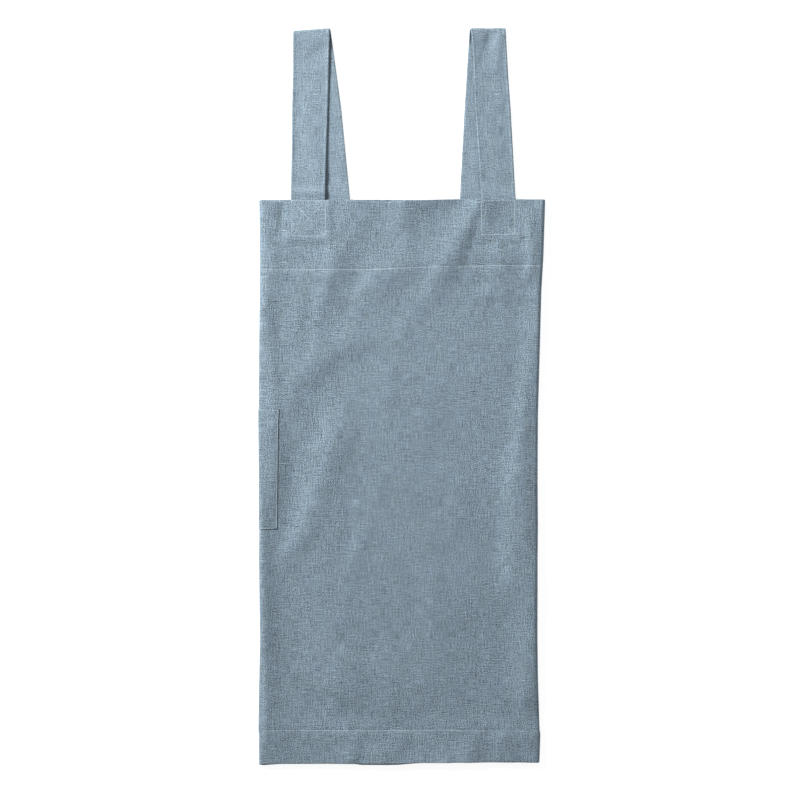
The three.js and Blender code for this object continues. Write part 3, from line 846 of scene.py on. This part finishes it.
def strap_crease(lay, side, half, down, across):
    """The sum of the strap's creases, rise exp(-(d / wide)^2) about a line, faded past its ends."""
    s, chart = lay.s, STRAP_CREASES
    total = np.zeros(np.broadcast(down, across).shape)
    for i in np.flatnonzero((chart["strap"] == side) & (chart["half"] == half)):
        x0, x1 = (chart[key][i].astype(float) * s.strap_width for key in ("across0", "across1"))
        y0, y1 = (chart[key][i].astype(float) * s.strap_run for key in ("down0", "down1"))
        x, y = across * s.strap_width, down * s.strap_run
        way = np.hypot(x1 - x0, y1 - y0)
        t = np.clip(((x - x0) * (x1 - x0) + (y - y0) * (y1 - y0)) / way**2, 0, 1)
        off = np.hypot(x - x0 - t * (x1 - x0), y - y0 - t * (y1 - y0))
        rise, wide = (chart[key][i].astype(float) for key in ("rise", "wide"))
        total += rise * np.exp(-((off / wide) ** 2))
    return total


def make_strap(lay, side, cloth):
    """A strap: its front half up from behind the front's edge, half a circle over, and its back
    half down to the opposite flap. Each half's sections are read from its table."""
    s, shape = lay.s, STRAPS[side]
    top = s.body_length + s.strap_run
    radius = s.strap_wall + s.strap_loft / 2
    front_floor = lay.on_left_flap if side == "left" else lay.on_back_ends
    back_floor = lay.on_right_flap if side == "left" else lay.on_left_flap
    turn_over = top - radius
    edge = s.body_length + s.edge_level
    run = spread([s.body_length - s.strap_seam, edge, edge + s.edge_sink, turn_over], 0.0025)
    half_row = np.concatenate([[0.5, 0.49, 0.475, 0.458], np.linspace(0.44, 0, 10)])
    across = np.concatenate([half_row, -half_row[-2::-1]])
    pillow = s.strap_wall / 2 * (1 - 0.45 * np.abs(2 * across) ** 30)[None, :]
    lip = 0.00065 * np.exp(-(((0.475 - np.abs(across)) * s.strap_width / 0.0011) ** 2))[None, :]

    def waves(half, x, y, down, at):
        """The creases and small waves, which die away towards the edge that holds it down."""
        free = 1 - lay.over_body(y)
        crease = strap_crease(lay, side, half, down, at)
        wave = ripples(x, y, s.seed + 20 + (side == "left"), 0.012, 0.034, 1.6)
        # a crease that stands up may start nearer to the edge
        near = 1 - cover(y, 0, s.body_length, 0.001, 0.004)
        crease = np.maximum(crease, 0) * near + (np.minimum(crease, 0) + 0.00012 * wave) * free
        return crease * smooth(down, -0.01, 0.06)

    def back_lift(x, y, down, at):
        """How far the back half stands up: its creases, and its outer edge's curl at the top."""
        lift = np.maximum(waves("back", x, y, down, at) + 0.0006 * (1 - lay.over_body(y)), 0)
        outer_edge = 0.5 + (1 if side == "right" else -1) * at
        curl = np.exp(-((outer_edge * s.strap_width / 0.0019) ** 2))
        return lift + 0.0021 * curl * (1 - smooth(down, 0.06, 0.11)) * smooth(down, 0, 0.02)

    def place(half, y, out):
        y = y[:, None]
        down = np.clip((top - y) / s.strap_run, 0, 1)
        read = lambda which, column: np.interp(down, shape[which]["down"], shape[which][column])
        chart = shape[half]
        lean = (chart["middle"][-1] - chart["middle"][-2]) / (chart["down"][-1] - chart["down"][-2])
        past = np.maximum(0, s.body_length - y) / s.strap_run
        x = s.body_width * (read(half, "middle") + lean * past)
        x = x + across[None, :] * s.strap_width * read(half, "wide")
        drop = (1 - smooth(down, 0, 0.12)) * shape["slope"] * s.strap_width
        drop = drop * (0.5 - across[None, :])
        if half == "back":
            low = back_floor(x, y) + back_lift(x, y, down, across[None, :])
            z = low + s.strap_wall / 2 - out
            return np.stack(np.broadcast_arrays(x, y - drop, z), axis=-1)
        free = 1 - lay.over_body(y)
        curl = read("front", "curl") * s.strap_loft * 4 * across[None, :] ** 2
        stand = s.strap_wall + s.strap_loft * read("front", "stand")
        low = stand + (front_floor(x, y) - stand) * lay.over_body(y)
        low = low + (curl + lip + 0.0006) * free + waves("front", x, y, down, across[None, :])
        # it rests on the back half where that lies below it: the greater of both, rounded
        at = (x - s.body_width * read("back", "middle")) / (s.strap_width * read("back", "wide"))
        held = back_floor(x, y) + s.strap_wall + s.clearance
        held = held + back_lift(x, y, down, np.clip(at, -0.5, 0.5))
        held = held * cover(at, -0.5, 0.5, 0.06, 0.10)
        low = (low + held + np.hypot(low - held, 0.0003)) / 2
        z = low + s.strap_wall / 2 + out
        return np.stack(np.broadcast_arrays(x, y - drop, z), axis=-1)

    def side_of(sign):
        out = sign * pillow
        front = place("front", run, out)
        back = place("back", run[::-1], out)
        f, b = place("front", run[-1:], 0 * out), place("back", run[-1:], 0 * out)
        share = np.linspace(0, 1, 15)[1:-1][:, None]
        angle = np.pi * (0.5 - share)
        half = (f[..., 2] - b[..., 2]) / 2
        arc = np.stack(
            np.broadcast_arrays(
                f[..., 0] + (b[..., 0] - f[..., 0]) * share,
                f[..., 1] + (half + out) * np.cos(angle),
                b[..., 2] + half + (half + out) * np.sin(angle),
            ),
            axis=-1,
        )
        return np.concatenate([front, arc, back]) + lay.place

    outer, inner = side_of(1), side_of(-1)
    middle = along(outer[:, len(across) // 2])
    return closed_sheet(f"strap_{side}_cloth", outer, inner, -across * s.strap_width, middle, cloth)


def box_rows(lay, side):
    """The rows of stitches that hold a strap's front end: a box and its two diagonals."""
    s = lay.s
    # neither box is sewn quite in the middle of its strap
    aside, drop = (0.0012, 0.0012) if side == "left" else (-0.0010, -0.0010)
    middle = s.body_width * STRAPS[side]["front"]["middle"][-1] + aside
    w, inset = s.strap_width / 2, 0.0014
    left, right = middle - w + inset, middle + w - inset
    low, high = s.body_length - s.strap_seam + inset - drop, s.body_length - inset
    return [
        [(left, high), (left, low), (right, low), (right, high)],
        [(left, high), (right, high)],
        [(left + 0.002, high - 0.002), (right - 0.002, low + 0.002)],
        [(right - 0.002, high - 0.002), (left + 0.002, low + 0.002)],
    ]


def make_body_stitches(lay, thread):
    """The rows along the top band, the bottom hem and the straps' sewn ends."""
    s = lay.s
    raised = lambda share: lambda x, y: lay.top(x, y) + share * s.stitch_radius
    lines = []
    for level in (lay.band_line, s.bottom_hem):
        x = np.linspace(lay.left(level) + s.fold_reach, lay.right(level) - s.fold_reach, 160)
        y = lay.band_at(x) if level == lay.band_line else level + 0 * x
        lines.append(np.stack([x, y + 0.0003 * np.sin(31 * x)], axis=-1))
    heights = [raised(0.2)] * 2
    for side in STRAPS:
        # the box's diagonals are drawn deeper into the cloth than its sides, but for their
        # end at the lower right corner
        rows = [np.array(row) for row in box_rows(lay, side)]
        corner = rows[0][2]

        def drawn_in(x, y, corner=corner):
            near = 1 - smooth(np.hypot(x - corner[0], y - corner[1]), 0.008, 0.018)
            return lay.top(x, y) + s.stitch_radius * (0.58 * near - 0.38)

        lines += rows
        heights += [raised(0.0), raised(-0.1), drawn_in, raised(-0.38)]
    made = [
        stitch_line(line, s.stitch_pitch, height, seed=i)
        for i, (line, height) in enumerate(zip(lines, heights))
    ]
    centres, ways = (np.concatenate(part) for part in zip(*made))
    return stitches("body_stitches", centres + lay.place, ways, s, thread)


def make_pocket_stitches(lay, thread):
    """The rows along the pocket's hem, edge and bottom, and the small triangle at its corner."""
    s = lay.s
    sit = s.pocket_gap + s.pocket_wall + 0.35 * s.stitch_radius
    height = lambda x, y: lay.top(x, y) + sit
    top, base, inset = lay.pocket_top, s.pocket_base, 0.0012
    fold = lay.left(top) + 0.5 * s.fold_reach
    edge = lambda y: pocket_edge(lay, y) - inset
    hem = top - s.pocket_hem
    rows = [
        [(fold, hem), (edge(hem), hem)],
        [(fold, base + inset), (edge(base) - 0.002, base + inset)],
        [(edge(base), base + 0.003), (edge(hem), hem), (edge(top), top - inset)],
        [(edge(top) - 0.009, top - inset), (edge(hem), hem + 0.004)],
        [(edge(top) - 0.009, top - inset), (edge(top), top - inset)],
    ]
    made = [
        stitch_line(np.array(row), s.stitch_pitch, height, seed=40 + i)
        for i, row in enumerate(rows)
    ]
    centres, ways = (np.concatenate(part) for part in zip(*made))
    return stitches("pocket_stitches", centres + lay.place, ways, s, thread)


class ApronOperator:
    """What the apron's operators share."""

    bl_options = {"REGISTER", "UNDO"}

    def parts(self, context):
        return Lay(context.scene.apron_sizes), context.scene.apron_colours

    def finish_piece(self, piece, slot, *nodes):
        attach(piece, "root")
        if nodes:
            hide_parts(*nodes)


class APRON_OT_body(ApronOperator, bpy.types.Operator):
    """Make the body's cloth with its rows of stitches"""

    bl_idname = "apron.body"
    bl_label = "Body"

    def execute(self, context):
        lay, colours = self.parts(context)
        s = lay.s
        body = make_body(lay, material("body_linen", lambda: linen("body_linen", s, colours)))
        self.finish_piece(body, "body_cloth", "body_panel")
        sewn = make_body_stitches(lay, material("sewing_thread", lambda: sewing_thread(colours)))
        self.finish_piece(sewn, "body_cloth")
        return {"FINISHED"}


class APRON_OT_pocket(ApronOperator, bpy.types.Operator):
    """Make the pocket round the left fold with its rows of stitches"""

    bl_idname = "apron.pocket"
    bl_label = "Side pocket"

    def execute(self, context):
        lay, colours = self.parts(context)
        s = lay.s
        # the pocket's cloth is the body's linen painted 8% darker: painted shade
        cloth = material("pocket_linen", lambda: linen("pocket_linen", s, colours, 0.92, 1.0, 21.0))
        pocket = make_pocket(lay, cloth)
        self.finish_piece(pocket, "pocket_cloth", "side_pocket")
        sewn = make_pocket_stitches(lay, material("sewing_thread", lambda: sewing_thread(colours)))
        self.finish_piece(sewn, "pocket_cloth")
        return {"FINISHED"}


class APRON_OT_straps(ApronOperator, bpy.types.Operator):
    """Make both straps, each turned over above the body"""

    bl_idname = "apron.straps"
    bl_label = "Straps"

    def execute(self, context):
        lay, colours = self.parts(context)
        s = lay.s
        # the straps' cloth is the body's linen painted 6% lighter: painted light, for the light
        # that falls stronger on them
        cloth = material("strap_linen", lambda: linen("strap_linen", s, colours, 1.06, 0.76, 33.0))
        for side in STRAPS:
            strap = make_strap(lay, side, cloth)
            self.finish_piece(strap, "strap_cloth", f"strap_{side}")
        return {"FINISHED"}


class APRON_OT_stage(ApronOperator, bpy.types.Operator):
    """Set the floor, the lights and the camera straight above the apron"""

    bl_idname = "apron.stage"
    bl_label = "Stage"

    def execute(self, context):
        colours = context.scene.apron_colours
        scene = context.scene
        side = 25.0
        points = np.array([[-1, -1, 0], [1, -1, 0], [1, 1, 0], [-1, 1, 0]]) * side
        points[:, 2] = -0.0001
        floor = solid("floor", points, np.array([[0, 1, 2, 3]]), table_top(colours))
        # the photograph's middle, and its width at the height of the cloth
        aim, wide, height, level = np.array([-0.0028, -0.0040, 0.0]), 1.160, 3.2, 0.006
        camera = bpy.data.cameras.new("camera")
        camera.sensor_width = 36
        camera.lens = 36 * (height - level) / wide
        camera.dof.use_dof = False
        camera.clip_end = 50
        seen = bpy.data.objects.new("camera", camera)
        seen.location = (aim[0], aim[1], height)
        scene.collection.objects.link(seen)
        scene.camera = seen
        for name, place, size, power in (
            ("key light", (-1.87, 1.40, 1.35), 0.7, 150),
            ("fill light", (1.90, 1.30, 1.00), 1.4, 12),
        ):
            lamp = bpy.data.lights.new(name, "AREA")
            lamp.shape, lamp.size, lamp.energy = "DISK", size, power
            thing = bpy.data.objects.new(name, lamp)
            thing.location = place
            thing.rotation_euler = (-Vector(place)).to_track_quat("-Z", "Y").to_euler()
            scene.collection.objects.link(thing)
        world = bpy.data.worlds.new("studio")
        world.use_nodes = True
        sky = world.node_tree.nodes["Background"].inputs
        sky["Color"].default_value, sky["Strength"].default_value = (1, 1, 1, 1), 0.34
        scene.world = world
        scene.view_settings.view_transform = "Standard"
        scene.view_settings.look = "None"
        return {"FINISHED"}


class APRON_PT_panel(bpy.types.Panel):
    """The apron's sizes, colours and pieces."""

    bl_label = "Cross-back apron"
    bl_idname = "APRON_PT_panel"
    bl_space_type = "VIEW_3D"
    bl_region_type = "UI"
    bl_category = "Apron"

    def draw(self, context):
        for group in (context.scene.apron_sizes, context.scene.apron_colours):
            box = self.layout.box()
            for key in group.__annotations__:
                box.prop(group, key)
        for operator in OPERATORS:
            self.layout.operator(operator.bl_idname)


OPERATORS = (APRON_OT_stage, APRON_OT_body, APRON_OT_pocket, APRON_OT_straps)
CLASSES = (ApronSizes, ApronColours, *OPERATORS, APRON_PT_panel)


def register():
    for each in CLASSES:
        bpy.utils.register_class(each)
    bpy.types.Scene.apron_sizes = PointerProperty(type=ApronSizes)
    bpy.types.Scene.apron_colours = PointerProperty(type=ApronColours)


def unregister():
    del bpy.types.Scene.apron_sizes, bpy.types.Scene.apron_colours
    for each in reversed(CLASSES):
        bpy.utils.unregister_class(each)


def main():
    register()
    bpy.ops.apron.stage()
    bpy.ops.apron.body()
    bpy.ops.apron.pocket()
    bpy.ops.apron.straps()


if __name__ == "__main__":
    main()
